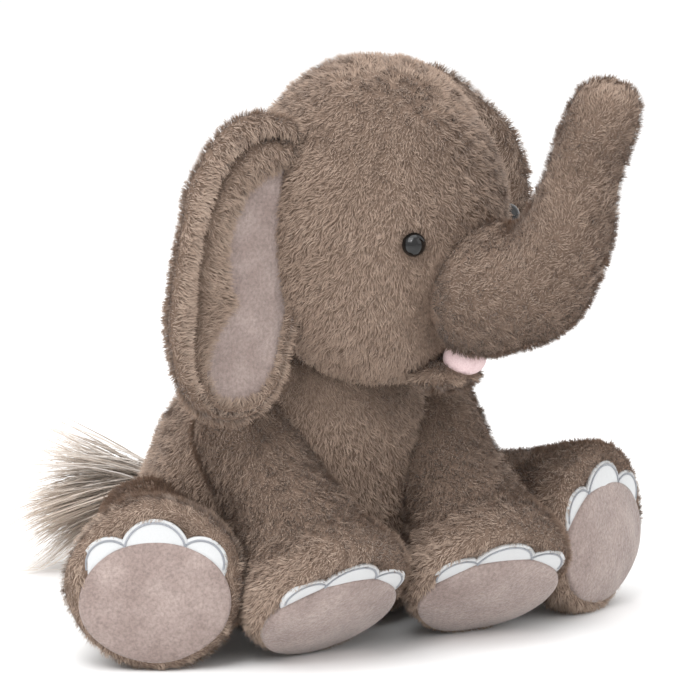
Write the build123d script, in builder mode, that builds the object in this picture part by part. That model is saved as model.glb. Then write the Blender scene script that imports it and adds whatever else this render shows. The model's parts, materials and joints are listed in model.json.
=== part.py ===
from build123d import *
import os
from math import cos, radians, sin, tan

os.makedirs("parts", exist_ok=True)

# A stuffed elephant that sits on the floor and faces -Y, with its left side on +X and +Z up.
# The origin is on the floor, in the middle of the torso's flat seat. All sizes are in millimetres.

# ---------------------------------------------------------------- driving dimensions
WALL = 4.0                  # fur fabric and the packed fringe of stuffing behind it
GAP = 1.0                   # free space between two bodies that move against each other
SKIN_GAP = 0.15             # free space between a cover and the stuffing inside it
SOCKET_REACH = 70           # how far a limb's socket reaches out of the torso or the head

# Torso: a pear that leans forward under the head. Height, centre's Y, radius.
TORSO_GIRTHS = [
    (0, 8, 58), (11, 7, 74), (44, 2, 82), (80, -7, 76), (108, -17, 68), (125, -27, 54), (135, -34, 38),
]
POUCH_CENTRE = Vector(0, 7, 26)
POUCH_RADIUS, POUCH_HALF_HEIGHT, POUCH_CLOTH = 37, 17, 1.0

# Head: an egg on a vertical axis, turned to the elephant's left.
HEAD_CENTRE = Vector(10, -65, 205)
HEAD_TURN = 27
HEAD_RADIUS = 69
HEAD_CROWN = 87             # from the widest level up to the crown
HEAD_JAW = 84               # from the widest level down to the jaw

# Trunk: distance forward of the head's axis, height, girth radius and pitch of each section.
TRUNK_SECTIONS = [
    (57, 178, 34, 2), (87, 182, 32, 20), (108, 197, 28.5, 48), (118, 222, 24, 76),
    (125, 248, 21, 74), (132, 274, 19, 72),
]
TRUNK_SWING = 14            # widest angle of the trunk's bend, in degrees

# Eyes and mouth, in the head's own directions
EYE_SPREAD = 40             # degrees round the head from straight ahead
EYE_HEIGHT = 207
EYE_RADIUS, EYE_DOME, EYE_RIM = 6.0, 4.6, 0.8
STEM_RADIUS, STEM_LENGTH = 2.2, 13
WASHER_RADIUS, WASHER_THICKNESS, WASHER_DEPTH = 7.0, 1.5, 7.0
LIP_FORWARD, LIP_HEIGHT, LIP_RADIUS, LIP_HALF_HEIGHT = 43, 131, 19, 8
MOUTH_RADIUS, MOUTH_THICKNESS = 17, 2.0

# Ears: half outline, out from the seam on the head and up or down from the head's widest level
EAR_OUTLINE = [
    (-14, 60), (6, 66), (26, 60), (50, 38), (68, 4), (73, -36), (67, -64), (50, -80), (30, -86),
    (12, -82), (-2, -66), (-14, -40),
]
EAR_POCKET_CENTRE = (20, -14)
EAR_POCKET_SCALE = (0.66, 0.80)
EAR_THICKNESS = 10.0
EAR_BACK = 4.0
EAR_WADDING = 3.0
EAR_LINING = 2.4
EAR_ROOT = (66, 17)         # out and back from the head's axis
EAR_SWEEP = {"right": 17, "left": 0}
EAR_SWING = 14

# Legs: pivot at the root, centre of the sole, root radius, and distance and radius of each girth
SHOULDER = Vector(52, -42, 104)
FRONT_SOLE = Vector(45, -121, 30)
FRONT_ROOT = 28
FRONT_GIRTHS = [(40, 29.5), (72, 33), (91, 39.5), (101, 41.5)]
FRONT_END_RADIUS = 37.5
HIP = Vector(74, 6, 44)
HIND_SOLE = Vector(127, -90, 42)
HIND_ROOT = 31
HIND_GIRTHS = [(40, 32), (75, 36), (93, 39.5), (103, 40.5)]
HIND_END_RADIUS = 37.5
FRONT_SWING = 12
HIND_SWING = 16

# Sole patch and toenails on the flat end of each foot
SOLE_WIDTH, SOLE_HEIGHT, SOLE_DROP = 35.5, 28, -7
SOLE_THICKNESS, NAIL_THICKNESS = 3.0, 2.0
NAIL_RADIUS, NAIL_RISE = 16.5, 19
SIDE_NAIL_RADIUS, SIDE_NAIL_RISE, SIDE_NAIL_SPREAD = 12, 12, 24

# Tail: a fabric stub with a tuft of long hair
TAIL_ROOT = Vector(-4, 82, 42)
TAIL_DIRECTION = Vector(-0.58, 0.81, 0.05).normalized()
TAIL_RADIUS, TAIL_STUB = 8, 30
TUFT_GIRTHS = [(12, 13), (30, 16), (48, 12)]
TUFT_LENGTH = 64
TAIL_SWING = 18

# ---------------------------------------------------------------- directions of the head
UP = Vector(0, 0, 1)
OVAL_LATITUDES = (-83, -60, -30, 0, 30, 60, 83)
AHEAD = Vector(sin(radians(HEAD_TURN)), -cos(radians(HEAD_TURN)), 0)
LEFT = UP.cross(AHEAD)


def in_head(left, ahead, height):
    """The point at these distances left and ahead of the head's axis, at this height."""
    base = Vector(HEAD_CENTRE.X, HEAD_CENTRE.Y, height)
    return base + LEFT * left + AHEAD * ahead


def upright_plane(origin, facing):
    """A plane that faces a direction, with its own Y as near to straight up as it can be."""
    return Plane(origin=origin, x_dir=UP.cross(facing), z_dir=facing)


def side_plane(origin, along):
    """A plane whose X runs along a direction, for the profile of a shape turned about it."""
    return Plane(origin=origin, x_dir=along, z_dir=UP.cross(along))


# ---------------------------------------------------------------- repeated shapes
def oval(centre, radius, crown, jaw):
    """A round form with its own height above and below its widest level, and small flat poles."""
    with BuildPart() as form:
        for latitude in OVAL_LATITUDES:
            height = (crown if latitude > 0 else jaw) * sin(radians(latitude))
            with BuildSketch(Plane(origin=centre + UP * height)):
                Circle(radius * cos(radians(latitude)))
        loft()
    return form.part


def egg(growth):
    """The head's outer form, made larger by growth."""
    return oval(HEAD_CENTRE, HEAD_RADIUS + growth, HEAD_CROWN + growth, HEAD_JAW + growth)


def turned_limb(root, tip, root_radius, girths, end_radius, growth, end_growth):
    """A limb of round section from its ball-shaped root to its flat end."""
    along = (tip - root).normalized()
    length = (tip - root).length + end_growth
    with BuildPart() as form:
        with BuildSketch(side_plane(root, along)):
            with BuildLine():
                ball = root_radius + growth
                rim = (length, end_radius + growth)
                stations = [(distance, radius + growth) for distance, radius in girths]
                CenterArc((0, 0), ball, 90, 90)
                Spline((0, ball), *stations, rim, tangents=[(1, 0), (0.7, -1)])
                Polyline(rim, (length, 0), (-ball, 0))
            make_face()
        revolve(axis=Axis(root, along))
    return form.part


def trunk_form(growth):
    """The raised trunk, from its ball-shaped root to its domed tip, made larger by growth."""
    planes = []
    for ahead, height, radius, pitch in TRUNK_SECTIONS:
        facing = AHEAD * cos(radians(pitch)) + UP * sin(radians(pitch))
        planes.append((Plane(origin=in_head(0, ahead, height), x_dir=LEFT, z_dir=facing), radius + growth))
    root_plane, root_radius = planes[0]
    tip_plane, tip_radius = planes[-1]
    with BuildPart() as form:
        for plane, radius in planes:
            with BuildSketch(plane):
                Circle(radius)
        loft()
        with Locations(root_plane):
            Sphere(root_radius, arc_size1=-90, arc_size2=0, align=None)
        with Locations(tip_plane):
            Sphere(tip_radius, arc_size1=0, arc_size2=90, align=None)
    return form.part


def torso_form(inset):
    """The leaning pear of the torso, made smaller by inset on every side."""
    last = len(TORSO_GIRTHS) - 1
    with BuildPart() as form:
        for number, (height, centre, radius) in enumerate(TORSO_GIRTHS):
            level = height + inset * (number == 0) - inset * (number == last)
            with BuildSketch(Plane(origin=(0, centre, level))):
                Circle(radius - inset)
        loft()
    return form.part


def swing_room(root, tip, ball, swing, reach):
    """The room that a limb needs round its ball-shaped root to swing both ways: a ball and a cone."""
    angle = radians(swing)
    along = (tip - root).normalized()
    touch = (-ball * sin(angle), ball * cos(angle))
    mouth = (reach, touch[1] + (reach - touch[0]) * tan(angle))
    with BuildPart() as form:
        with BuildSketch(side_plane(root, along)):
            with BuildLine():
                CenterArc((0, 0), ball, 90 + swing, 90 - swing)
                Polyline(touch, mouth, (reach, 0), (-ball, 0))
            make_face()
        revolve(axis=Axis(root, along))
    return form.part


def save(builder, name):
    builder.part.label = name
    export_step(builder.part, f"parts/{name}.step")


# ---------------------------------------------------------------- legs and their sockets
LEGS = {}
for side_name, side in (("right", -1), ("left", 1)):
    LEGS[f"{side_name}_front"] = dict(
        root=Vector(SHOULDER.X * side, SHOULDER.Y, SHOULDER.Z),
        tip=Vector(FRONT_SOLE.X * side, FRONT_SOLE.Y, FRONT_SOLE.Z),
        root_radius=FRONT_ROOT, girths=FRONT_GIRTHS, end_radius=FRONT_END_RADIUS, swing=FRONT_SWING,
    )
    LEGS[f"{side_name}_hind"] = dict(
        root=Vector(HIP.X * side, HIP.Y, HIP.Z),
        tip=Vector(HIND_SOLE.X * side, HIND_SOLE.Y, HIND_SOLE.Z),
        root_radius=HIND_ROOT, girths=HIND_GIRTHS, end_radius=HIND_END_RADIUS, swing=HIND_SWING,
    )


def leg_form(leg, growth, end_growth):
    return turned_limb(leg["root"], leg["tip"], leg["root_radius"], leg["girths"], leg["end_radius"],
                       growth, end_growth)


tail_tip = TAIL_ROOT + TAIL_DIRECTION * TAIL_STUB
trunk_root = in_head(0, TRUNK_SECTIONS[0][0], TRUNK_SECTIONS[0][1])
trunk_room = swing_room(trunk_root, trunk_root + AHEAD, TRUNK_SECTIONS[0][2] + GAP, TRUNK_SWING, SOCKET_REACH)

# What the other bodies need free of the torso while they move
torso_sockets = [egg(GAP), swing_room(TAIL_ROOT, tail_tip, TAIL_RADIUS + GAP, TAIL_SWING, TAIL_STUB)]
for leg in LEGS.values():
    torso_sockets.append(swing_room(leg["root"], leg["tip"], leg["root_radius"] + GAP, leg["swing"],
                                    SOCKET_REACH))

# ---------------------------------------------------------------- torso
with BuildPart() as torso_cover:
    add(torso_form(0))
    add(torso_form(WALL), mode=Mode.SUBTRACT)
    for socket in torso_sockets:
        add(socket, mode=Mode.SUBTRACT)
save(torso_cover, "torso_cover")


def pouch_form(inset):
    """The flattened round bag above the middle of the seat."""
    height = POUCH_HALF_HEIGHT - inset
    return oval(POUCH_CENTRE, POUCH_RADIUS - inset, height, height)


with BuildPart() as torso_stuffing:
    add(torso_form(WALL + SKIN_GAP))
    add(pouch_form(-SKIN_GAP), mode=Mode.SUBTRACT)
    for socket in torso_sockets:
        add(socket, mode=Mode.SUBTRACT)
save(torso_stuffing, "torso_stuffing")

with BuildPart() as pellet_pouch:
    add(pouch_form(0))
    add(pouch_form(POUCH_CLOTH), mode=Mode.SUBTRACT)
save(pellet_pouch, "pellet_pouch")

with BuildPart() as weighting_pellets:
    add(pouch_form(POUCH_CLOTH + SKIN_GAP))
save(weighting_pellets, "weighting_pellets")

# ---------------------------------------------------------------- legs
for leg_name, leg in LEGS.items():
    facing = (leg["tip"] - leg["root"]).normalized()
    sole_plane = upright_plane(leg["tip"], facing)

    with BuildPart() as leg_cover:
        add(leg_form(leg, 0, 0))
        add(leg_form(leg, -WALL, 0.5), mode=Mode.SUBTRACT)
    save(leg_cover, f"{leg_name}_leg_cover")

    with BuildPart() as leg_stuffing:
        add(leg_form(leg, -WALL - SKIN_GAP, -SKIN_GAP))
    save(leg_stuffing, f"{leg_name}_leg_stuffing")

    with BuildPart() as sole:
        with BuildSketch(sole_plane):
            with Locations((0, SOLE_DROP)):
                Ellipse(SOLE_WIDTH, SOLE_HEIGHT)
        extrude(amount=SOLE_THICKNESS)
        fillet(sole.faces().sort_by(Axis(leg["tip"], facing))[-1].edges(), SOLE_THICKNESS * 0.6)
    save(sole, f"{leg_name}_sole")

    with BuildPart() as toenails:
        with BuildSketch(sole_plane):
            with Locations((0, NAIL_RISE)):
                Circle(NAIL_RADIUS)
            with Locations((-SIDE_NAIL_SPREAD, SIDE_NAIL_RISE), (SIDE_NAIL_SPREAD, SIDE_NAIL_RISE)):
                Circle(SIDE_NAIL_RADIUS)
            with Locations((0, SOLE_DROP)):
                Ellipse(SOLE_WIDTH + SKIN_GAP, SOLE_HEIGHT + SKIN_GAP, mode=Mode.SUBTRACT)
        extrude(amount=NAIL_THICKNESS)
    save(toenails, f"{leg_name}_toenails")

# ---------------------------------------------------------------- tail
with BuildPart() as tail_stub:
    add(turned_limb(TAIL_ROOT, tail_tip, TAIL_RADIUS, [(TAIL_STUB / 2, TAIL_RADIUS - 0.5)],
                    TAIL_RADIUS - 2, 0, 0))
save(tail_stub, "tail_stub")

tuft_start = TAIL_ROOT + TAIL_DIRECTION * (TAIL_STUB + SKIN_GAP)
with BuildPart() as tail_tuft:
    with BuildSketch(side_plane(tuft_start, TAIL_DIRECTION)):
        with BuildLine():
            base = (0, TAIL_RADIUS - 2)
            point = (TUFT_LENGTH, 0)
            Spline(base, *TUFT_GIRTHS, point)
            Polyline(point, (0, 0), base)
        make_face()
    revolve(axis=Axis(tuft_start, TAIL_DIRECTION))
save(tail_tuft, "tail_tuft")

# ---------------------------------------------------------------- trunk
with BuildPart() as trunk_cover:
    add(trunk_form(0))
    add(trunk_form(-WALL), mode=Mode.SUBTRACT)
save(trunk_cover, "trunk_cover")

with BuildPart() as trunk_stuffing:
    add(trunk_form(-WALL - SKIN_GAP))
save(trunk_stuffing, "trunk_stuffing")

# ---------------------------------------------------------------- eyes
eye_seats = []
for side_name, side in (("right", -1), ("left", 1)):
    spread = radians(EYE_SPREAD)
    facing = LEFT * (side * sin(spread)) + AHEAD * cos(spread)
    seat = Vector(HEAD_CENTRE.X, HEAD_CENTRE.Y, EYE_HEIGHT) + facing * (HEAD_RADIUS - 0.6)
    eye_seats.append((seat, facing))
    profile_plane = side_plane(seat, facing)

    with BuildPart() as eye:
        with BuildSketch(profile_plane):
            with BuildLine():
                ThreePointArc((EYE_DOME, 0), (EYE_DOME * 0.62, EYE_RADIUS * 0.76), (0, EYE_RADIUS))
                Polyline((0, EYE_RADIUS), (-EYE_RIM, EYE_RADIUS), (-EYE_RIM, STEM_RADIUS),
                         (-STEM_LENGTH, STEM_RADIUS), (-STEM_LENGTH, 0), (EYE_DOME, 0))
            make_face()
        revolve(axis=Axis(seat, facing))
    save(eye, f"{side_name}_eye")

    with BuildPart() as eye_washer:
        with BuildSketch(Plane(origin=seat - facing * WASHER_DEPTH, z_dir=facing)):
            Circle(WASHER_RADIUS)
            Circle(STEM_RADIUS, mode=Mode.SUBTRACT)
        extrude(amount=WASHER_THICKNESS)
    save(eye_washer, f"{side_name}_eye_washer")

# ---------------------------------------------------------------- head
with BuildPart() as head_cover:
    add(egg(0))
    add(egg(-WALL), mode=Mode.SUBTRACT)
    add(trunk_room, mode=Mode.SUBTRACT)
    for seat, facing in eye_seats:
        with BuildSketch(Plane(origin=seat - facing * EYE_RIM, z_dir=facing)):
            Circle(EYE_RADIUS + SKIN_GAP)
        extrude(amount=EYE_DOME, mode=Mode.SUBTRACT)
        with BuildSketch(Plane(origin=seat, z_dir=-facing)):
            Circle(STEM_RADIUS + SKIN_GAP)
        extrude(amount=2 * WALL, mode=Mode.SUBTRACT)
save(head_cover, "head_cover")

with BuildPart() as head_stuffing:
    add(egg(-WALL - SKIN_GAP))
    add(trunk_room, mode=Mode.SUBTRACT)
    for seat, facing in eye_seats:
        with BuildSketch(Plane(origin=seat, z_dir=-facing)):
            Circle(WASHER_RADIUS + SKIN_GAP)
        extrude(amount=STEM_LENGTH + SKIN_GAP, mode=Mode.SUBTRACT)
save(head_stuffing, "head_stuffing")

lip_centre = in_head(0, LIP_FORWARD, LIP_HEIGHT)
with BuildPart() as lower_lip:
    add(oval(lip_centre, LIP_RADIUS, LIP_HALF_HEIGHT, LIP_HALF_HEIGHT))
    add(egg(SKIN_GAP), mode=Mode.SUBTRACT)
save(lower_lip, "lower_lip")

mouth_level = LIP_HEIGHT + LIP_HALF_HEIGHT + SKIN_GAP
with BuildPart() as mouth_lining:
    with BuildSketch(Plane(origin=in_head(0, LIP_FORWARD + 3, mouth_level))):
        Circle(MOUTH_RADIUS)
    extrude(amount=MOUTH_THICKNESS)
    add(egg(SKIN_GAP), mode=Mode.SUBTRACT)
    add(trunk_room, mode=Mode.SUBTRACT)
save(mouth_lining, "mouth_lining")

# ---------------------------------------------------------------- ears
def ear_outline(side, centre, scale):
    """The ear's outline, scaled about a centre, opening to the elephant's right or left."""
    points = []
    for out, rise in EAR_OUTLINE:
        points.append((side * (centre[0] + (out - centre[0]) * scale[0]),
                       centre[1] + (rise - centre[1]) * scale[1]))
    return points


for side_name, side in (("right", -1), ("left", 1)):
    sweep = radians(EAR_SWEEP[side_name])
    across = LEFT * cos(sweep) - AHEAD * (side * sin(sweep))
    root = in_head(side * EAR_ROOT[0], -EAR_ROOT[1], HEAD_CENTRE.Z)
    middle = Plane(origin=root, x_dir=across, z_dir=across.cross(UP))
    back = middle.offset(-EAR_THICKNESS / 2)
    pocket = back.offset(EAR_BACK)
    outline = ear_outline(side, (0, 0), (1, 1))
    inner_outline = ear_outline(side, EAR_POCKET_CENTRE, EAR_POCKET_SCALE)
    hinge = Axis(root, UP)
    head_clearance = [egg(GAP).rotate(hinge, angle) for angle in (-EAR_SWING, 0, EAR_SWING)]

    with BuildPart() as ear_back:
        with BuildSketch(back):
            with BuildLine():
                Spline(*outline)
                Line(outline[-1], outline[0])
            make_face()
        extrude(amount=EAR_THICKNESS)
        with BuildSketch(pocket):
            with BuildLine():
                Spline(*inner_outline)
                Line(inner_outline[-1], inner_outline[0])
            make_face()
        extrude(amount=EAR_THICKNESS, mode=Mode.SUBTRACT)
        for form in head_clearance:
            add(form, mode=Mode.SUBTRACT)
    save(ear_back, f"{side_name}_ear_back")

    layers = (("wadding", 0, EAR_WADDING), ("lining", EAR_WADDING, EAR_LINING))
    for layer_name, start, thickness in layers:
        with BuildPart() as layer:
            with BuildSketch(pocket.offset(start)):
                with BuildLine():
                    Spline(*inner_outline)
                    Line(inner_outline[-1], inner_outline[0])
                make_face()
            extrude(amount=thickness)
            for form in head_clearance:
                add(form, mode=Mode.SUBTRACT)
        save(layer, f"{side_name}_ear_{layer_name}")
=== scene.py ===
import json
import math

import bpy
import numpy as np
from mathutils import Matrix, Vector


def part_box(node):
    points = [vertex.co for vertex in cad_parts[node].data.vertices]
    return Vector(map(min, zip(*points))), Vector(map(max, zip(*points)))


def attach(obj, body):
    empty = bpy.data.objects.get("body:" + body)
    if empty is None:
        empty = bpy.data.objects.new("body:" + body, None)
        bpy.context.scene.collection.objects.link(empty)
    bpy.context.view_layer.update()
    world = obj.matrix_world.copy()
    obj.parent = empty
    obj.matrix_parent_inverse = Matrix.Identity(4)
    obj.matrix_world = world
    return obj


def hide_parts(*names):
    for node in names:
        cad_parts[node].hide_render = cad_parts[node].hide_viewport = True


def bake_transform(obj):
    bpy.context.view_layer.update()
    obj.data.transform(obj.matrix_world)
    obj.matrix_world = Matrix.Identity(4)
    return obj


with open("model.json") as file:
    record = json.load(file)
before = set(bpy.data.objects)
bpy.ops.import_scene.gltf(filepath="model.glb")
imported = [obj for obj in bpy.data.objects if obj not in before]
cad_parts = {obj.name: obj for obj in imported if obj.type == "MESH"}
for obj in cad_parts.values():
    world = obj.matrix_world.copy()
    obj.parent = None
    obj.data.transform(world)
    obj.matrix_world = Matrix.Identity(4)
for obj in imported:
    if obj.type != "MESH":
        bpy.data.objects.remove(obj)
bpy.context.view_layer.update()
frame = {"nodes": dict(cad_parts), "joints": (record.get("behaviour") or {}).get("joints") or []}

MM = 0.001
UP = np.array((0.0, 0.0, 1.0))
FLOOR_GAP = 0.2 * MM                                # skins and pile stop this far above the floor


def unit(v):
    v = np.asarray(v, float)
    length = np.linalg.norm(v, axis=-1, keepdims=True)
    return v / np.maximum(length, 1e-12)


def joint(name):
    return next(j for j in frame["joints"] if j["name"] == name)


def pivot(name):
    return np.array(joint(name)["pos_m"], float)


def middle(node):
    low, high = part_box(node)
    return (np.array(low) + np.array(high)) / 2


# ---------------------------------------------------------------- camera and light
VIEW_AZIMUTH, VIEW_ELEVATION = math.radians(-30), math.radians(12)
VIEW_TARGET = Vector((0.026, -0.015, 0.130))
VIEW_DISTANCE, VIEW_WIDTH = 4.5, 0.350

camera_data = bpy.data.cameras.new("camera")
camera_data.sensor_width = 36
camera_data.lens = camera_data.sensor_width * VIEW_DISTANCE / VIEW_WIDTH
camera = bpy.data.objects.new("camera", camera_data)
bpy.context.collection.objects.link(camera)
toward_camera = Vector((math.sin(VIEW_AZIMUTH) * math.cos(VIEW_ELEVATION),
                        -math.cos(VIEW_AZIMUTH) * math.cos(VIEW_ELEVATION), math.sin(VIEW_ELEVATION)))
camera.location = VIEW_TARGET + toward_camera * VIEW_DISTANCE
camera.rotation_euler = (-toward_camera).to_track_quat("-Z", "Y").to_euler()
bpy.context.scene.camera = camera


def area_light(name, azimuth, elevation, distance, size, power):
    data = bpy.data.lights.new(name, "AREA")
    data.size, data.energy = size, power
    light = bpy.data.objects.new(name, data)
    a, e = math.radians(azimuth), math.radians(elevation)
    way = Vector((math.sin(a) * math.cos(e), -math.cos(a) * math.cos(e), math.sin(e)))
    light.location = VIEW_TARGET + way * distance
    light.rotation_euler = (-way).to_track_quat("-Z", "Y").to_euler()
    bpy.context.collection.objects.link(light)


# azimuth and elevation in degrees, distance and size in metres, power in watts
area_light("sparkle", -48, 42, 1.2, 0.14, 1.1)
area_light("key", -62, 48, 1.3, 0.9, 9)
area_light("fill", 35, 30, 1.6, 1.2, 3)
area_light("back", 165, 45, 1.4, 0.8, 4)
area_light("top", 0, 88, 1.3, 1.0, 5)

world = bpy.data.worlds.new("studio")
world.use_nodes = True
world.node_tree.nodes["Background"].inputs["Color"].default_value = (1.0, 1.0, 1.0, 1)
world.node_tree.nodes["Background"].inputs["Strength"].default_value = 1.0
bpy.context.scene.world = world
bpy.context.scene.view_settings.view_transform = "Standard"


# ---------------------------------------------------------------- node helpers
class Nodes:
    """A material's node tree with short names for what is built in it."""

    def __init__(self, name, roughness, **constants):
        self.material = bpy.data.materials.new(name)
        self.material.use_nodes = True
        self.tree = self.material.node_tree
        self.shader = self.tree.nodes["Principled BSDF"]
        self.shader.inputs["Roughness"].default_value = roughness
        for socket, value in constants.items():
            self.shader.inputs[socket.replace("_", " ")].default_value = value

    def add(self, kind, **settings):
        node = self.tree.nodes.new(kind)
        for key, value in settings.items():
            setattr(node, key, value)
        return node

    def link(self, source, target):
        self.tree.links.new(source, target)

    def position(self, scale=(1, 1, 1)):
        coordinates = self.add("ShaderNodeTexCoord")
        mapping = self.add("ShaderNodeMapping")
        mapping.inputs["Scale"].default_value = scale
        self.link(coordinates.outputs["Object"], mapping.inputs["Vector"])
        return mapping.outputs["Vector"]

    def noise(self, vector, scale, detail=3.0, roughness=0.55):
        node = self.add("ShaderNodeTexNoise")
        node.inputs["Scale"].default_value = scale
        node.inputs["Detail"].default_value = detail
        node.inputs["Roughness"].default_value = roughness
        self.link(vector, node.inputs["Vector"])
        return node.outputs["Fac"]

    def ramp(self, factor, *stops):
        node = self.add("ShaderNodeValToRGB")
        ramp = node.color_ramp
        while len(ramp.elements) < len(stops):
            ramp.elements.new(0.5)
        for element, (place, colour) in zip(ramp.elements, stops):
            element.position = place
            element.color = (*colour, 1)
        self.link(factor, node.inputs["Fac"])
        return node.outputs["Color"]

    def mix(self, factor, a, b, blend="MIX"):
        node = self.add("ShaderNodeMix", data_type="RGBA", blend_type=blend)
        for value, socket in ((factor, node.inputs[0]), (a, node.inputs[6]), (b, node.inputs[7])):
            if hasattr(value, "links"):
                self.link(value, socket)
            else:
                socket.default_value = value if isinstance(value, (int, float)) else (*value, 1)
        return node.outputs[2]

    def bump(self, height, strength, distance):
        node = self.add("ShaderNodeBump")
        node.inputs["Strength"].default_value = strength
        node.inputs["Distance"].default_value = distance
        self.link(height, node.inputs["Height"])
        self.link(node.outputs["Normal"], self.shader.inputs["Normal"])

    def colour(self, output):
        self.link(output, self.shader.inputs["Base Color"])


FUR_DARK, FUR_MID, FUR_LIGHT = (0.200, 0.138, 0.102), (0.375, 0.272, 0.208), (0.58, 0.45, 0.36)


def strand_material(name, dark, mid, light, root_shade, roughness):
    """A strand's colour: across its strip of UVs by tone, and darker towards its root, which is painted
    shade where the strands shade one another.
    """
    n = Nodes(name, roughness, Specular_IOR_Level=0.25, Sheen_Weight=0.18, Sheen_Roughness=0.5)
    uv = n.add("ShaderNodeUVMap", uv_map="OFBake")
    parts = n.add("ShaderNodeSeparateXYZ")
    n.link(uv.outputs["UV"], parts.inputs["Vector"])
    tone = n.ramp(parts.outputs["X"], (0.0, dark), (0.5, mid), (1.0, light))
    # painted shade: root_shade darkens each strand towards its root, and the tip is a little lighter; on the
    # tail hair the darker root is partly the hair's own beige
    depth = n.ramp(parts.outputs["Y"], (0.0, (root_shade,) * 3), (0.55, (0.86,) * 3), (1.0, (1.12,) * 3))
    n.colour(n.mix(1.0, tone, depth, "MULTIPLY"))
    return n.material


def backing_material(name, dark, light):
    n = Nodes(name, 0.95, Specular_IOR_Level=0.1)
    place = n.position()
    n.colour(n.ramp(n.noise(place, 900), (0.3, dark), (0.7, light)))
    n.bump(n.noise(place, 1400), 0.6, 0.001)
    return n.material


def short_pile_material(name, dark, light):
    """Short brushed pile: fine nap, soft mottling where it is stroked, and a pale bloom at the edge."""
    n = Nodes(name, 0.85, Specular_IOR_Level=0.2, Sheen_Weight=0.45, Sheen_Roughness=0.35)
    place = n.position()
    nap = n.noise(place, 620, 4.0, 0.65)
    strokes = n.noise(place, 55, 3.0, 0.5)
    mottle = n.ramp(strokes, (0.34, dark), (0.68, light))
    fine = n.ramp(nap, (0.34, (0.76,) * 3), (0.64, (1.10,) * 3))
    n.colour(n.mix(1.0, mottle, fine, "MULTIPLY"))
    n.bump(nap, 0.75, 0.0012)
    return n.material


def satin_nodes(name):
    return Nodes(name, 0.38, Specular_IOR_Level=0.5, Sheen_Weight=0.15)


def satin_material(name, colour):
    """Smooth satin with a faint weave."""
    n = satin_nodes(name)
    weave = n.noise(n.position((900, 2600, 1500)), 1.0, 2.0)
    n.colour(n.ramp(weave, (0.2, tuple(c * 0.93 for c in colour)), (0.7, colour)))
    n.bump(n.noise(n.position(), 160), 0.25, 0.001)
    return n.material


def stitch_material(name, colour):
    """Satin thread in close stitches, whose bands follow the UV layer named thread."""
    n = satin_nodes(name)
    uv = n.add("ShaderNodeUVMap", uv_map="thread")
    wave = n.add("ShaderNodeTexWave", wave_type="BANDS", bands_direction="X")
    wave.inputs["Scale"].default_value = 1.0
    wave.inputs["Distortion"].default_value = 0.6
    n.link(uv.outputs["UV"], wave.inputs["Vector"])
    height = wave.outputs["Fac"]
    # painted shade: the low grooves between the stitches are coloured darker than their raised tops
    n.colour(n.ramp(height, (0.1, tuple(c * 0.72 for c in colour)), (0.6, colour)))
    n.bump(height, 0.9, 0.0006)
    return n.material


def plain_cloth_material(name, dark, light, scale):
    n = Nodes(name, 0.8, Sheen_Weight=0.2)
    place = n.position()
    fibre = n.noise(place, scale, 4.0, 0.6)
    n.colour(n.ramp(fibre, (0.3, dark), (0.7, light)))
    n.bump(fibre, 0.5, 0.0006)
    return n.material


def moulded_material(name, dark, light, roughness):
    """Moulded plastic with the faint unevenness and dust of a handled toy part."""
    n = Nodes(name, roughness)
    place = n.position()
    dust = n.noise(place, 420, 4.0)
    n.colour(n.ramp(dust, (0.35, dark), (0.8, light)))
    n.bump(n.noise(place, 120), 0.05, 0.0005)
    return n.material


FUR = strand_material("fur_strands", FUR_DARK, FUR_MID, FUR_LIGHT, root_shade=0.42, roughness=0.8)
BACKING = backing_material("fur_backing", (0.150, 0.105, 0.080), (0.240, 0.172, 0.132))
HAIR = strand_material("tail_strands", (0.50, 0.41, 0.34), (0.74, 0.65, 0.57), (0.93, 0.88, 0.83),
                       root_shade=0.72, roughness=0.5)
SHORT_PILE = short_pile_material("short_pile", (0.310, 0.240, 0.218), (0.410, 0.328, 0.300))
SATIN = satin_material("satin", (0.61, 0.62, 0.625))
STITCHES = stitch_material("satin_stitches", (0.50, 0.52, 0.57))
MOUTH = plain_cloth_material("mouth_cloth", (0.70, 0.50, 0.51), (0.86, 0.68, 0.68), 1300)
EYE = moulded_material("eye_plastic", (0.003, 0.003, 0.003), (0.006, 0.005, 0.005), roughness=0.07)
WASHER = moulded_material("washer_plastic", (0.62, 0.62, 0.60), (0.80, 0.80, 0.78), roughness=0.4)


# ---------------------------------------------------------------- smooth noise on points
class Ripple:
    """Repeatable smooth noise: sine waves in random directions, about -1 to 1."""

    def __init__(self, seed, wavelength, waves=7):
        source = np.random.default_rng(seed)
        ways = unit(source.normal(size=(waves, 3)))
        self.ways = ways * (2 * math.pi / (wavelength * source.uniform(0.7, 1.5, (waves, 1))))
        self.phases = source.uniform(0, 2 * math.pi, waves)

    def __call__(self, points):
        total = np.sin(points @ self.ways.T + self.phases).sum(axis=1)
        return total * math.sqrt(2 / len(self.phases)) * 0.5


LUMPS = Ripple(11, 0.042)
CREASES = Ripple(12, 0.016)
BLOTCHES = Ripple(13, 0.020)
SPECKLES = Ripple(14, 0.0052)
CLUMP_X, CLUMP_Y, CLUMP_Z = (Ripple(seed, 0.0065) for seed in (15, 16, 17))
SWIRL_X, SWIRL_Y, SWIRL_Z = (Ripple(seed, 0.05) for seed in (18, 19, 20))


def vector_noise(points, ripples):
    return np.stack([ripple(points) for ripple in ripples], axis=1)


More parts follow.
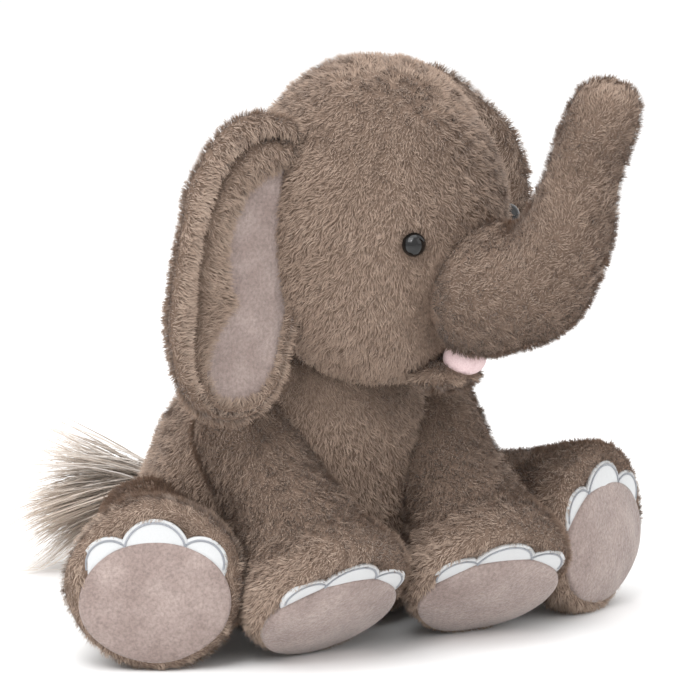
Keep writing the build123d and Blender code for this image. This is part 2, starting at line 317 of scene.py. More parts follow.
# ---------------------------------------------------------------- surfaces made of rings
def follow(points, count):
    """Points spaced evenly in parameter along a smooth curve through the given rows of numbers."""
    rows = np.array(points, float)
    padded = np.vstack([2 * rows[0] - rows[1], rows, 2 * rows[-1] - rows[-2]])
    spans = len(rows) - 1
    places = np.linspace(0, spans, count)
    index = np.minimum(places.astype(int), spans - 1)
    t = (places - index)[:, None]
    a, b, c, d = (padded[index + k] for k in range(4))
    return 0.5 * (2 * b + (c - a) * t + (2 * a - 5 * b + 4 * c - d) * t ** 2
                  + (3 * b - a - 3 * c + d) * t ** 3)


class Surface:
    """A closed skin: vertices, quads and triangles, with what the pile needs at each vertex."""

    def __init__(self, rings, start, end):
        count, around, _ = rings.shape
        self.shape = (count, around)
        self.points = np.vstack([rings.reshape(-1, 3), start, end])
        first, last = count * around, count * around + 1
        i, j = np.meshgrid(np.arange(count - 1), np.arange(around), indexing="ij")
        k = (j + 1) % around
        self.quads = np.stack([i * around + j, i * around + k, (i + 1) * around + k,
                               (i + 1) * around + j], axis=-1).reshape(-1, 4)
        j = np.arange(around)
        k = (j + 1) % around
        base = (count - 1) * around
        caps = np.vstack([np.stack([k, j, np.full(around, first)], axis=1),
                          np.stack([base + j, base + k, np.full(around, last)], axis=1)])
        self.caps = caps
        self.triangles = np.vstack([self.quads[:, [0, 1, 2]], self.quads[:, [0, 2, 3]], caps])
        self.along = unit(self.ring_tangent())

    def ring_tangent(self):
        count, around = self.shape
        rings = self.points[:-2].reshape(count, around, 3)
        tangent = np.gradient(rings, axis=0).reshape(-1, 3)
        return np.vstack([tangent, [tangent[:around].mean(axis=0)], [tangent[-around:].mean(axis=0)]])

    def normals(self):
        p = self.points[self.triangles]
        face = np.cross(p[:, 1] - p[:, 0], p[:, 2] - p[:, 0])
        total = np.zeros_like(self.points)
        for corner in range(3):
            np.add.at(total, self.triangles[:, corner], face)
        return unit(total)

    def push(self, amount):
        """Moves every vertex out along its normal by an amount in metres."""
        self.points = self.points + self.normals() * np.reshape(amount, (-1, 1))

    def soften(self, lumps, creases):
        """Uneven stuffing under the cloth."""
        self.push(LUMPS(self.points) * lumps + CREASES(self.points) * creases)

    def mesh(self, name, material):
        self.points[:, 2] = np.maximum(self.points[:, 2], FLOOR_GAP)
        data = bpy.data.meshes.new(name)
        faces = [tuple(f) for f in self.quads.tolist()] + [tuple(f) for f in self.caps.tolist()]
        data.from_pydata(self.points.tolist(), [], faces)
        data.polygons.foreach_set("use_smooth", np.ones(len(faces), bool))
        data.materials.append(material)
        piece = bpy.data.objects.new(name, data)
        bpy.context.collection.objects.link(piece)
        return piece


def ringed(path, u_axis, v_axis, u_radii, v_radii, around, start, end):
    """A surface of rings: each ring's middle, its two axes and its two radii."""
    turn = np.linspace(0, 2 * math.pi, around, endpoint=False)
    cosine, sine = np.cos(turn)[None, :, None], np.sin(turn)[None, :, None]
    rings = (path[:, None, :] + u_axis[:, None, :] * u_radii[:, None, None] * cosine
             + v_axis[:, None, :] * v_radii[:, None, None] * sine)
    return Surface(rings, start, end)


# ---------------------------------------------------------------- pile
class Strands:
    """Where strands of pile stand on a surface, and which way they lie."""

    def __init__(self, surface, density, seed, keep=None):
        source = np.random.default_rng(seed)
        corners = surface.points[surface.triangles]
        first, second = corners[:, 1] - corners[:, 0], corners[:, 2] - corners[:, 0]
        areas = np.linalg.norm(np.cross(first, second), axis=1) / 2
        count = int(areas.sum() * density * 1e6)
        chosen = np.searchsorted(np.cumsum(areas) / areas.sum(), source.random(count))
        chosen = np.minimum(chosen, len(areas) - 1)
        a, b = source.random(count), source.random(count)
        flip = a + b > 1
        a[flip], b[flip] = 1 - a[flip], 1 - b[flip]
        weights = np.stack([1 - a - b, a, b], axis=1)[:, :, None]
        index = surface.triangles[chosen]
        self.points = (surface.points[index] * weights).sum(axis=1)
        self.normals = unit((surface.normals()[index] * weights).sum(axis=1))
        self.along = (surface.along[index] * weights).sum(axis=1)
        self.source = source
        if keep is not None:
            self.select(keep(self.points, self.normals))

    def select(self, mask):
        self.points, self.normals, self.along = self.points[mask], self.normals[mask], self.along[mask]

    def comb(self, toward):
        """The direction that the pile is brushed in, flat on the surface."""
        flat = toward - self.normals * (toward * self.normals).sum(axis=1, keepdims=True)
        return unit(flat)


def pile(name, strands, toward, length, tone, shade=None):
    """Short tapered strands, each a bent ribbon of two spans, lying at a lean in a combed direction."""
    p, n, source = strands.points, strands.normals, strands.source
    count = len(p)
    swirl = vector_noise(p, (SWIRL_X, SWIRL_Y, SWIRL_Z)) * 0.28
    clump = vector_noise(p, (CLUMP_X, CLUMP_Y, CLUMP_Z))
    comb = strands.comb(toward + swirl + clump * 0.35)
    jitter = source.normal(size=(count, 3)) * 0.20
    size = length * source.uniform(0.72, 1.12, (count, 1))
    if shade is not None:
        size = size * shade[:, None]
    first = unit(n * math.cos(PILE_LEAN) + comb * math.sin(PILE_LEAN) + clump * 0.22 + jitter)
    second = unit(first + comb * 0.42 + clump * 0.22 + jitter * 0.7 - UP * 0.10)
    root = p - n * 0.0008
    bend = root + first * size * 0.55
    tip = bend + second * size * 0.45
    side = unit(np.cross(first + comb * 0.5, n)) * (PILE_WIDTH * source.uniform(0.75, 1.2, (count, 1)) / 2)
    points = np.stack([root - side, root + side, bend - side * 0.85, bend + side * 0.85, tip], axis=1)
    points[:, :, 2] = np.maximum(points[:, :, 2], FLOOR_GAP)
    face = unit(n - first * (first * n).sum(axis=1, keepdims=True))
    tilt = unit(face * 0.75 + n * 0.35 + jitter * 0.5)
    tones = tone + BLOTCHES(p) * 0.06 + SPECKLES(p) * 0.09 + source.normal(size=count) * TONE_SPREAD
    tones = np.clip(tones, 0.02, 0.98)
    shares = math.ceil(count / PIECE_STRANDS)
    pieces = []
    for share in range(shares):
        own = slice(share, None, shares)
        pieces.append(ribbon_mesh(f"{name}_{share + 1}", points[own], tilt[own], tones[own], FUR))
    return pieces


def ribbon_mesh(name, points, normals, tones, material):
    """One mesh of ribbons. points is strand by point: pairs of edge points from the root, then the tip."""
    count, per, _ = points.shape
    spans = (per - 1) // 2
    base = (np.arange(count) * per)[:, None]
    corners = []
    for span in range(spans - 1):
        left = 2 * span
        corners.append(base + np.array([left, left + 1, left + 3, left + 2]))
    corners.append(base + np.array([2 * spans - 2, 2 * spans - 1, per - 1]))
    loops = np.concatenate(corners, axis=1)
    sizes = np.tile([4] * (spans - 1) + [3], count)
    data = bpy.data.meshes.new(name)
    data.vertices.add(count * per)
    data.vertices.foreach_set("co", points.astype(np.float32).ravel())
    data.loops.add(loops.size)
    data.loops.foreach_set("vertex_index", loops.astype(np.int32).ravel())
    data.polygons.add(len(sizes))
    starts = np.concatenate([[0], np.cumsum(sizes)[:-1]])
    data.polygons.foreach_set("loop_start", starts.astype(np.int32))
    data.update(calc_edges=True)
    data.polygons.foreach_set("use_smooth", np.ones(len(sizes), bool))
    heights = np.repeat(np.linspace(0, 1, spans + 1), 2)[:per]
    heights[-1] = 1.0
    uv = np.empty((count, per, 2), np.float32)
    uv[:, :, 0] = tones[:, None]
    uv[:, :, 1] = 0.02 + 0.96 * heights[None, :]
    layer = data.uv_layers.new(name="OFBake")
    layer.data.foreach_set("uv", uv.reshape(-1, 2)[loops.ravel()].ravel())
    data.normals_split_custom_set_from_vertices(np.repeat(normals, per, axis=0).astype(np.float32))
    data.materials.append(material)
    piece = bpy.data.objects.new(name, data)
    bpy.context.collection.objects.link(piece)
    return piece


# ---------------------------------------------------------------- directions of the object
HEAD_BOX = [np.array(corner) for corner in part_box("head_cover")]
HEAD = (HEAD_BOX[0] + HEAD_BOX[1]) / 2
HEAD_RADIUS = (HEAD_BOX[1][0] - HEAD_BOX[0][0]) / 2
HEAD_TOP, HEAD_BOTTOM = HEAD_BOX[1][2], HEAD_BOX[0][2]
TRUNK_ROOT = pivot("trunk_bend")
AHEAD = unit((TRUNK_ROOT - HEAD) * (1, 1, 0))
LEFT = np.cross(UP, AHEAD)

PILE_LENGTH = 4.9 * MM
PILE_WIDTH = 0.38 * MM
PILE_LEAN = math.radians(32)
TONE_SPREAD = 0.11                                  # how much neighbouring strands differ in tone
PILE_DENSITY = 1.5       # strands per square millimetre
PIECE_STRANDS = 64000                               # a denser pile is shared between several pieces
SKIN_INSET = 3.4 * MM                               # room left for pile inside the CAD surface
LUMP, CREASE = 1.1 * MM, 0.4 * MM                   # height of the stuffing's lumps and the cloth's creases


def clad(name, surface, body, nodes, seed, keep=None, toward=None, shade=None, seam=None,
         tone=0.5, length=PILE_LENGTH):
    """Gives a surface its backing cloth and its pile, attached to one body, or left in place on no body
    where a seam is given.
    """
    skin = surface.mesh(name, BACKING)
    strands = Strands(surface, PILE_DENSITY, seed, keep)
    way = strands.along if toward is None else toward(strands.points)
    shades = None if shade is None else shade(strands.points)
    tones = tone(strands.points) if callable(tone) else tone
    fur = pile(f"{name}_pile", strands, way, length, tones, shades)
    for piece in (skin, *fur):
        if seam:
            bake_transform(piece)
        else:
            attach(piece, body)
    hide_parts(*nodes)


# ---------------------------------------------------------------- torso
def make_torso():
    # height, centre's Y and radius of each girth, from the seat up to the neck
    girths = np.array([(2.5, 8, 52), (4, 8, 63), (14, 7, 74.5), (44, 2, 79), (78, -7, 73.5),
                       (104, -16, 65.5), (122, -26, 54), (136, -34, 42), (146, -38, 28)]) * MM
    rings = 90
    rows = follow(girths, rings)
    path = np.stack([np.zeros(rings), rows[:, 1], rows[:, 0]], axis=1)
    along_x, along_y = np.tile((1.0, 0, 0), (rings, 1)), np.tile((0, 1.0, 0), (rings, 1))
    surface = ringed(path, along_x, along_y, rows[:, 2], rows[:, 2], 150,
                     path[0] - UP * 0.3 * MM, path[-1] + UP * 3 * MM)
    surface.soften(LUMP, CREASE)
    surface.points[:, 2] = np.maximum(surface.points[:, 2], 1.2 * MM)
    hips = [(pivot(f"{side}_hind_leg_splay"), 12 * MM) for side in ("right", "left")]
    shoulders = [(pivot(f"{side}_front_leg_raise"), 10 * MM) for side in ("right", "left")]

    def seen(p, n):
        """Leaves out the pile under the seat and inside each leg's root."""
        buried = np.zeros(len(p), bool)
        for place, reach in hips + shoulders:
            buried |= np.linalg.norm(p - place, axis=1) < reach
        return (p[:, 2] > 3.0 * MM) & ~buried

    def downward(p):
        return np.tile(-UP, (len(p), 1))

    clad("torso_skin", surface, "torso", ["torso_cover", "torso_stuffing"], 101, keep=seen, toward=downward)


# ---------------------------------------------------------------- legs
SOLE_DROP = 7 * MM                                  # from the leg end's middle down to the sole patch's
SOLE_THICKNESS = 3 * MM
SOLE_RADII = (37.0 * MM, 30.0 * MM)
# across the leg's end, up it from its middle, and radius
NAILS = [(-22.0 * MM, 12.0 * MM, 13.5 * MM), (22.0 * MM, 12.0 * MM, 13.5 * MM), (0.0, 17.5 * MM, 17.0 * MM)]
# the rounded end: past the leg's length, and less than its last girth's radius
LEG_END = [(-3, 0.6), (0.5, 3.5), (0.8, 7), (-0.6, 14)]


def foot_frame(leg):
    """The leg's root, the middle of its end, and its own directions: along, sideways and up the end."""
    kind = "raise" if "front" in leg else "splay"
    root = pivot(f"{leg}_leg_{kind}")
    sole = middle(f"{leg}_sole")
    along = unit(sole - root)
    sideways = unit(np.cross(UP, along))
    upward = np.cross(along, sideways)
    sole = sole + upward * SOLE_DROP - along * SOLE_THICKNESS / 2
    along = unit(sole - root)
    sideways = unit(np.cross(UP, along))
    return root, sole, along, sideways, np.cross(along, sideways)


def make_leg(leg, root_radius, girths, seed):
    """girths: distance from the root and radius, in millimetres."""
    root, sole, along, sideways, upward = foot_frame(leg)
    length = np.linalg.norm(sole - root)
    end = girths[-1][1] * MM
    rows = [(-0.55 * root_radius, 0.80 * root_radius), (0, root_radius)]
    rows += [(distance * MM, radius * MM) for distance, radius in girths]
    rows += [(length + past * MM, end - less * MM) for past, less in LEG_END]
    rings = 96
    rows = follow(rows, rings)
    path = root + along * rows[:, :1]
    surface = ringed(path, np.tile(sideways, (rings, 1)), np.tile(upward, (rings, 1)), rows[:, 1],
                     rows[:, 1], 120, root - along * root_radius * 0.95, path[-1])
    surface.soften(LUMP, CREASE)
    surface.points[:, 2] = np.maximum(surface.points[:, 2], 0.8 * MM)

    def bare(p):
        """Whether a point lies under the sole patch or a toenail."""
        deep, across, rise = (p - sole) @ along, (p - sole) @ sideways, (p - sole) @ upward
        covered = (across / SOLE_RADII[0]) ** 2 + ((rise + SOLE_DROP) / SOLE_RADII[1]) ** 2 < 0.93
        for x, y, radius in NAILS:
            covered |= (across - x) ** 2 + (rise - y) ** 2 < (radius * 0.94) ** 2
        return covered & (deep > -6 * MM)

    def keep(p, n):
        depth = (p - root) @ along
        return ~bare(p) & (depth > -0.92 * root_radius) & (p[:, 2] > 1.2 * MM)

    def shade(p):
        return np.where((p - sole) @ along > -4 * MM, 0.78, 1.0)

    def toward(p):
        depth = (p - root) @ along
        spoke = unit((p - root) - depth[:, None] * along)
        near_sole = np.clip((depth - 0.62 * length) / (0.25 * length), 0, 1)[:, None]
        return along * (1 - 0.85 * near_sole) + np.cross(along, spoke) * 0.7 * near_sole - UP * 0.25

    def tone(p):
        return 0.5 + 0.2 * np.clip(((p - root) @ along - 0.7 * length) / (0.25 * length), 0, 1)

    body = f"{leg}_leg"
    clad(f"{leg}_leg_skin", surface, body, [f"{leg}_leg_cover", f"{leg}_leg_stuffing"], seed,
         keep=keep, shade=shade, tone=tone, toward=toward,
         seam=("torso", root - along * 12 * MM, root + along * 26 * MM))
    make_sole(leg, body, sole, along, sideways, upward)
    make_toenails(leg, body, sole, along, sideways, upward)


def patch(outline, centre, facing, dome, tuck, rings):
    """A stuffed patch: a closed dome over an outline of points, its edge turned down behind it."""
    spokes = outline - centre
    behind = [centre + spokes * level - facing * tuck for level in (0.3, 0.7, 1.0)]
    front = [centre + spokes * level + facing * dome * (1 - level ** 2.6)
             for level in np.linspace(1.0, 0.04, rings)]
    return Surface(np.array(behind + front), centre - facing * tuck, centre + facing * dome)


def make_sole(leg, body, sole, along, sideways, upward):
    turn = np.linspace(0, 2 * math.pi, 140, endpoint=False)[:, None]
    centre = sole - upward * SOLE_DROP + along * 2.9 * MM
    outline = centre + sideways * SOLE_RADII[0] * np.cos(turn) + upward * SOLE_RADII[1] * np.sin(turn)
    surface = patch(outline, centre, along, 4.4 * MM, 3.6 * MM, 26)
    surface.push(LUMPS(surface.points * 1.4) * 0.5 * MM + CREASES(surface.points) * 0.12 * MM)
    piece = surface.mesh(f"{leg}_sole_patch", SHORT_PILE)
    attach(piece, body)
    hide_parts(f"{leg}_sole")


def make_toenails(leg, body, sole, along, sideways, upward):
    turn = np.linspace(0, 2 * math.pi, 72, endpoint=False)[:, None]
    for number, (x, y, radius) in enumerate(NAILS):
        centre = sole + sideways * x + upward * y + along * (1.0 + 0.25 * number) * MM
        outline = centre + (sideways * np.cos(turn) + upward * np.sin(turn)) * radius
        surface = patch(outline, centre, along, 1.4 * MM, 1.8 * MM, 14)
        nail = surface.mesh(f"{leg}_toenail_{number + 1}", SATIN)
        border = stitched_border(f"{leg}_toenail_border_{number + 1}", centre, sideways, upward, along,
                                 radius)
        for piece in (nail, border):
            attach(piece, body)
    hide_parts(f"{leg}_toenails")


def stitched_border(name, centre, sideways, upward, along, radius):
    """A raised row of satin stitches round the upper edge of one scallop."""
    steps, around, stitches = 150, 10, 24
    turn = np.linspace(math.radians(-15), math.radians(195), steps)
    ways = sideways * np.cos(turn)[:, None] + upward * np.sin(turn)[:, None]
    path = centre + ways * (radius - 1.9 * MM) + along * 0.55 * MM
    thickness = 0.42 * MM * (1 + 0.10 * np.sin(np.arange(steps) * 2.1))
    surface = ringed(path, np.tile(along, (steps, 1)), ways, thickness * 0.9, thickness * 1.3, around,
                     path[0], path[-1])
    piece = surface.mesh(name, STITCHES)
    layer = piece.data.uv_layers.new(name="thread")
    index = np.empty(len(piece.data.loops), np.int32)
    piece.data.loops.foreach_get("vertex_index", index)
    uv = np.stack([np.minimum(index // around, steps - 1) / (steps - 1) * stitches,
                   (index % around) / around], axis=1)
    layer.data.foreach_set("uv", uv.astype(np.float32).ravel())
    return piece


# ---------------------------------------------------------------- head
EYES = [middle(f"{side}_eye") for side in ("right", "left")]


def make_head():
    count = 120
    latitude = np.radians(np.linspace(-86, 86, count))
    half_height = (HEAD_TOP - HEAD_BOTTOM) / 2 - SKIN_INSET
    path = HEAD + UP * (half_height * np.sin(latitude))[:, None]
    radii = (HEAD_RADIUS - SKIN_INSET) * np.cos(latitude)
    surface = ringed(path, np.tile(LEFT, (count, 1)), np.tile(-AHEAD, (count, 1)), radii, radii, 170,
                     HEAD - UP * half_height, HEAD + UP * half_height)
    surface.soften(LUMP, CREASE)
    for eye in EYES:
        distance = np.linalg.norm(surface.points - eye, axis=1)
        surface.push(-1.8 * MM * np.exp(-(distance / (9 * MM)) ** 2))

    def from_trunk(p):
        """How far ahead of the trunk's root each point is, and how far off its axis."""
        ahead = (p - TRUNK_ROOT) @ AHEAD
        return ahead, np.linalg.norm((p - TRUNK_ROOT) - ahead[:, None] * AHEAD, axis=1)

    def keep(p, n):
        ahead, off_axis = from_trunk(p)
        mask = ~((ahead > -20 * MM) & (off_axis < 27 * MM))
        for eye in EYES:
            mask &= np.linalg.norm(p - eye, axis=1) > 6.4 * MM
        return mask

    def near_seam(p):
        ahead, off_axis = from_trunk(p)
        return np.exp(-(np.maximum(off_axis - 33 * MM, 0) / (5 * MM)) ** 2) * (ahead > -25 * MM)

    def near_eye(p):
        near = [np.exp(-(np.linalg.norm(p - eye, axis=1) / (10 * MM)) ** 4) for eye in EYES]
        return np.maximum(*near)

    way = unit(-UP - AHEAD * 0.45)
    # the tone is painted shade: the fur is coloured darker round the trunk's seam, in the crease where the
    # trunk meets the head
    clad("head_skin", surface, "head", ["head_cover", "head_stuffing"], 201, keep=keep,
         toward=lambda p: np.tile(way, (len(p), 1)), tone=lambda p: 0.5 - 0.32 * near_seam(p),
         shade=lambda p: 1 - 0.30 * near_seam(p) - 0.35 * near_eye(p))


def make_lip():
    low, high = (np.array(corner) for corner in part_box("lower_lip"))
    centre = (low + high) / 2 + UP * 3.5 * MM - AHEAD * 1.5 * MM
    count = 30
    latitude = np.radians(np.linspace(-84, 84, count))
    radius, half_height = (high[0] - low[0]) / 2 - 1.5 * MM, (high[2] - low[2]) / 2
    path = centre + UP * (half_height * np.sin(latitude))[:, None]
    radii = radius * np.cos(latitude)
    surface = ringed(path, np.tile(LEFT, (count, 1)), np.tile(-AHEAD, (count, 1)), radii, radii, 60,
                     path[0] - UP * 0.1 * MM, path[-1] + UP * 0.1 * MM)
    clad("lower_lip_skin", surface, "head", ["lower_lip"], 211, length=5.0 * MM,
         toward=lambda p: unit(p - centre - UP * 2 * MM))


def make_mouth():
    centre = middle("mouth_lining") + AHEAD * 6.5 * MM + UP * 3 * MM
    count = 24
    latitude = np.radians(np.linspace(-80, 80, count))
    path = centre + UP * (8.0 * MM * np.sin(latitude))[:, None]
    radii = 10.5 * MM * np.cos(latitude) ** 0.8
    surface = ringed(path, np.tile(LEFT, (count, 1)), np.tile(-AHEAD, (count, 1)), radii, radii, 72,
                     path[0] - UP * 0.1 * MM, path[-1] + UP * 0.1 * MM)
    surface.push(CREASES(surface.points) * 0.4 * MM)
    piece = surface.mesh("mouth_pocket", MOUTH)
    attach(piece, "head")
    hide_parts("mouth_lining")


# ---------------------------------------------------------------- trunk
# ahead of the root, above the root, radius
TRUNK_GIRTHS = [(-18, -2, 18), (-12, -1, 25), (-4, 0, 30.5), (6, 0.5, 33), (16, 2, 32), (30, 6, 29.5),
                (44, 16, 26.5), (56, 36, 22), (63, 56, 18.5), (70, 78, 17), (77, 95, 16.5), (81, 105, 13.5),
                (82.5, 109, 6)]


def make_trunk():
    count = 130
    rows = follow(np.array(TRUNK_GIRTHS) * MM, count)
    path = TRUNK_ROOT + AHEAD * rows[:, :1] + UP * rows[:, 1:2]
    tangent = unit(np.gradient(path, axis=0))
    surface = ringed(path, np.tile(LEFT, (count, 1)), np.cross(tangent, LEFT), rows[:, 2], rows[:, 2], 110,
                     path[0] - tangent[0] * 4 * MM, path[-1] - tangent[-1] * 0.8 * MM)
    surface.soften(LUMP, CREASE)
    turn = np.arctan2((surface.points - path[-1]) @ LEFT, (surface.points - path[-1]) @ AHEAD)
    near_tip = np.exp(-(np.linalg.norm(surface.points - path[-1], axis=1) / (13 * MM)) ** 2)
    surface.push(near_tip * np.cos(turn * 5) * 0.9 * MM)

    def keep(p, n):
        return (p - TRUNK_ROOT) @ AHEAD > -2 * MM

    # Painted shade: the fur is coloured darker in a narrow band at the trunk's root, in the crease where it
    # meets the head.
    def tone(p):
        ahead = (p - TRUNK_ROOT) @ AHEAD
        return 0.56 - 0.34 * np.exp(-((ahead - 1 * MM) / (3.5 * MM)) ** 2)

    clad("trunk_skin", surface, "trunk", ["trunk_cover", "trunk_stuffing"], 301, keep=keep,
         seam=("head", TRUNK_ROOT - AHEAD * 12 * MM, TRUNK_ROOT + AHEAD * 20 * MM), tone=tone)


# ---------------------------------------------------------------- ears
EAR_SWEEP = {"right": math.radians(17), "left": 0.0}
EAR_SPREAD = {"right": 1.0, "left": 1.22}
EAR_CENTRE = np.array((14, -30)) * MM
# out from the hinge, above it, and width of the fur that folds over to the front
EAR_EDGE = [(-13, 56, 22), (6, 62, 34), (26, 56, 40), (50, 35, 45), (65, 4, 49), (69, -34, 46),
            (63, -60, 30), (48, -76, 12), (30, -82, 9), (12, -78, 5), (-1, -64, 2), (-9, -38, 1.5),
            (-12, -5, 1.5), (-14, 30, 4)]
# how far in from the edge, where 1 is the folded width and 2 the ear's middle, and how far toward the front;
# it runs from the back's middle over the rim to the front's middle
EAR_SECTION = [(2.0, -2.4), (1.6, -3.2), (1.1, -4.0), (0.6, -4.6), (0.3, -4.4), (0.12, -3.2), (0.03, -1.2),
               (0.0, 1.2), (0.03, 3.8), (0.10, 5.6), (0.20, 6.2), (0.29, 4.6), (0.35, 0.6), (0.41, 3.8),
               (0.52, 6.4), (0.72, 6.8), (0.90, 4.6), (1.0, 1.6), (1.25, 0.6), (2.0, 0.5)]


def make_ear(side_name, side, seed):
    root = pivot(f"{side_name}_ear_flap")
    sweep = EAR_SWEEP[side_name]
    out = side * LEFT * math.cos(sweep) - AHEAD * math.sin(sweep)
    front = unit(np.cross(side * out, UP))
    edge = np.array(EAR_EDGE) * MM * (EAR_SPREAD[side_name], 1.03, 1)
    closed = np.vstack([edge, edge[:1]])
    around = 170
    ring = follow(closed, around + 1)[:-1]
    if side > 0:
        ring = ring[::-1]
    spokes = ring[:, :2] - EAR_CENTRE
    reach = np.linalg.norm(spokes, axis=1)
    fold = ring[:, 2]

    # where the fur's folded edge ends, as part of the way from the rim to the middle
    folded = np.clip(fold / reach, 0.03, 0.9)

    def place(flat, lift):
        """A point of the ear: out and up in its own plane, and lifted off it toward the front."""
        x, y = flat[:, 0], flat[:, 1]
        curl = 9 * MM * (np.maximum(x, 0) / (70 * MM)) ** 2
        curl = curl - 4 * MM * np.sin(np.clip(x / (70 * MM), 0, 1) * 3.1)
        curl += 5 * MM * np.clip(-(y + 40 * MM) / (45 * MM), 0, 1) ** 2
        curl += 1.6 * MM * np.sin(y / (17 * MM) + 0.8) * np.clip(x / (60 * MM), 0, 1)
        return root + out * x[:, None] + UP * y[:, None] + front * (curl + lift)[:, None]

    def inward(share):
        """Turns the first number of EAR_SECTION into a part of the way from the rim to the middle."""
        return share * folded if share <= 1 else folded + (share - 1) * (0.985 - folded)

    rings = [place(EAR_CENTRE + spokes * (1 - inward(share))[:, None], np.full(around, lift * MM))
             for share, lift in follow(np.array(EAR_SECTION), 120)]
    surface = Surface(np.array(rings), rings[0].mean(axis=0), rings[-1].mean(axis=0))
    surface.soften(0.7 * MM, 0.4 * MM)
    bearings = np.arctan2(spokes[:, 1], spokes[:, 0])
    order = np.argsort(bearings)

    def share_at(p):
        """Which share of the folded width each point is at, seen from the front."""
        spot = np.stack([(p - root) @ out, (p - root) @ UP], axis=1) - EAR_CENTRE
        bearing = np.arctan2(spot[:, 1], spot[:, 0])
        far = np.interp(bearing, bearings[order], reach[order], period=2 * math.pi)
        width = np.interp(bearing, bearings[order], folded[order], period=2 * math.pi)
        return (1 - np.linalg.norm(spot, axis=1) / far) / width

    def in_front(p):
        """Whether a point is on the ear's front half."""
        flat = np.stack([(p - root) @ out, (p - root) @ UP], axis=1)
        return (p - place(flat, np.zeros(len(p)))) @ front > 0

    def keep(p, n):
        return ~(in_front(p) & (share_at(p) > 0.97))

    # Lighter on the rolled rim; painted shade, darker, along the crease on the ear's front.
    def tone(p):
        share = share_at(p)
        crease_shade = np.exp(-((share - 0.35) / 0.07) ** 2) * in_front(p)
        return 0.60 + 0.10 * (share < 0.3) - 0.42 * crease_shade

    def shade(p):
        share = share_at(p)
        return 1 - 0.35 * np.exp(-((share - 0.35) / 0.07) ** 2) * in_front(p)

    clad(f"{side_name}_ear_skin", surface, f"{side_name}_ear",
         [f"{side_name}_ear_back", f"{side_name}_ear_wadding"], seed, keep=keep, shade=shade, tone=tone,
         seam=("head", root - out * 4 * MM, root + out * 16 * MM), length=5.6 * MM)

    outline = EAR_CENTRE + spokes * (1 - 0.93 * folded[:, None])
    levels = np.concatenate([(0.3, 0.7, 1.0), np.linspace(1.0, 0.05, 22)])
    lifts = [0.8] * 3 + [2.2 + 1.6 * (1 - level ** 2.2) for level in levels[3:]]
    cloth = [place(EAR_CENTRE + (outline - EAR_CENTRE) * level, np.full(around, lift * MM))
             for level, lift in zip(levels, lifts)]
    lining = Surface(np.array(cloth), cloth[0].mean(axis=0), cloth[-1].mean(axis=0))
    lining.push(CREASES(lining.points) * 0.4 * MM + LUMPS(lining.points) * 1.2 * MM)
    piece = lining.mesh(f"{side_name}_ear_lining_cloth", SHORT_PILE)
    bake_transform(piece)
    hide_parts(f"{side_name}_ear_lining")


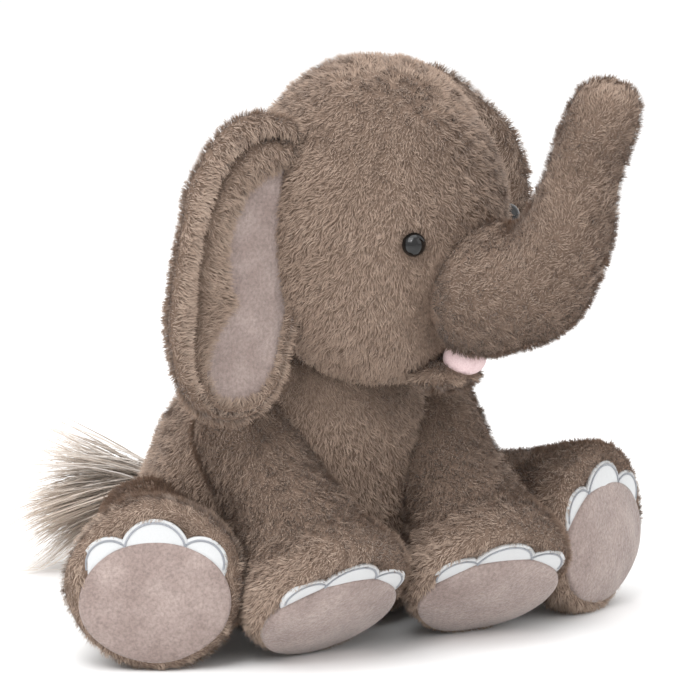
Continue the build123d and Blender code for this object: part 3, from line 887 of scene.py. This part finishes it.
# ---------------------------------------------------------------- tail
def make_tail():
    root = pivot("tail_swing")
    tuft = middle("tail_tuft")
    along = unit(tuft - root)
    sideways = unit(np.cross(UP, along))
    upward = np.cross(along, sideways)
    rings = 30
    rows = follow(np.array([(-5, 8), (0, 8.5), (12, 7.2), (24, 6.4), (31, 5.2), (33, 2.5)]) * MM, rings)
    path = root + along * rows[:, :1]
    surface = ringed(path, np.tile(sideways, (rings, 1)), np.tile(upward, (rings, 1)), rows[:, 1],
                     rows[:, 1], 40, path[0], path[-1] + along * MM)
    clad("tail_stub_skin", surface, "tail", ["tail_stub"], 401,
         seam=("torso", root - along * 6 * MM, root + along * 8 * MM))

    source = np.random.default_rng(402)
    locks, per_lock, spans = 30, 60, 7
    swept = unit(along * 0.8 + np.array((-0.45, -0.2, 0.0)))
    lock_way = swept + sideways * source.normal(0, 0.16, (locks, 1))
    lock_way = unit(lock_way + upward * source.normal(0.02, 0.17, (locks, 1)))
    lock_bend = source.normal(0, 0.30, (locks, 2))
    lock_reach = source.uniform(56, 76, (locks, 1)) * MM
    number = np.repeat(np.arange(locks), per_lock)
    count = len(number)
    start = root + along * source.uniform(16, 32, (count, 1)) * MM
    scatter = sideways * source.normal(0, 3.0, (count, 1)) + upward * source.normal(0, 3.4, (count, 1))
    start = start + scatter * MM
    way = lock_way[number] + source.normal(0, 0.035, (count, 3))
    reach = lock_reach[number] * source.uniform(0.82, 1.08, (count, 1))
    bend = lock_bend[number] + source.normal(0, 0.05, (count, 2))
    width = source.uniform(0.55, 0.95, (count, 1)) * MM / 2
    levels, points = np.linspace(0, 1, spans + 1), []
    lift = upward + source.normal(0, 0.6, (count, 3))
    flat = unit(np.cross(way, lift))
    for level in levels:
        gather = math.sin(min(level * 1.15, 1) * math.pi) * 4.5 * MM
        spot = start + way * reach * level
        spot = spot + (sideways * bend[:, :1] + upward * bend[:, 1:]) * reach * level ** 2 * 0.5
        spot = spot - UP * (17 * MM * level ** 1.6) + (lock_way[number] - swept) * gather
        spot[:, 2] = np.maximum(spot[:, 2], 2 * MM)
        if level < 1:
            taper = width * (1.0 if level < 0.1 else 1.15 * (1 - level ** 2.5))
            points += [spot - flat * taper, spot + flat * taper]
        else:
            points.append(spot)
    tones = 0.5 + np.repeat(source.normal(0, 0.18, locks), per_lock) + source.normal(0, 0.14, count)
    tones = np.clip(tones, 0.02, 0.98)
    normals = unit(lift - way * (lift * way).sum(axis=1, keepdims=True))
    hair = ribbon_mesh("tail_hair", np.stack(points, axis=1), normals, tones, HAIR)
    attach(hair, "tail")
    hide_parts("tail_tuft")


# ---------------------------------------------------------------- pieces that keep their CAD shape
def dress(node, material):
    piece = frame["nodes"][node]
    piece.data.materials.clear()
    piece.data.materials.append(material)


def make_floor():
    data = bpy.data.meshes.new("floor")
    reach = 14.0
    data.from_pydata([(-reach, -reach, 0), (reach, -reach, 0), (reach, reach, 0), (-reach, reach, 0)], [],
                     [(0, 1, 2, 3)])
    n = Nodes("floor", 0.9, Specular_IOR_Level=0.1)
    n.shader.inputs["Base Color"].default_value = (0.93, 0.93, 0.93, 1)
    data.materials.append(n.material)
    floor = bpy.data.objects.new("floor", data)
    bpy.context.collection.objects.link(floor)


make_torso()
for side_name, seed in (("right", 500), ("left", 540)):
    make_leg(f"{side_name}_front", 28 * MM - SKIN_INSET,
             [(40, 26.5), (70, 31.5), (90, 39.5), (101, 41.5)], seed)
    make_leg(f"{side_name}_hind", 31 * MM - SKIN_INSET,
             [(40, 29), (75, 34.5), (93, 41), (103, 42.5)], seed + 20)
make_head()
make_lip()
make_mouth()
make_trunk()
make_ear("right", -1, 600)
make_ear("left", 1, 640)
make_tail()
for side_name in ("right", "left"):
    dress(f"{side_name}_eye", EYE)
    dress(f"{side_name}_eye_washer", WASHER)
dress("pellet_pouch", plain_cloth_material("pouch_cloth", (0.60, 0.57, 0.52), (0.78, 0.75, 0.70), 700))
dress("weighting_pellets",
      moulded_material("pellets", (0.66, 0.66, 0.64), (0.82, 0.82, 0.80), roughness=0.45))
make_floor()
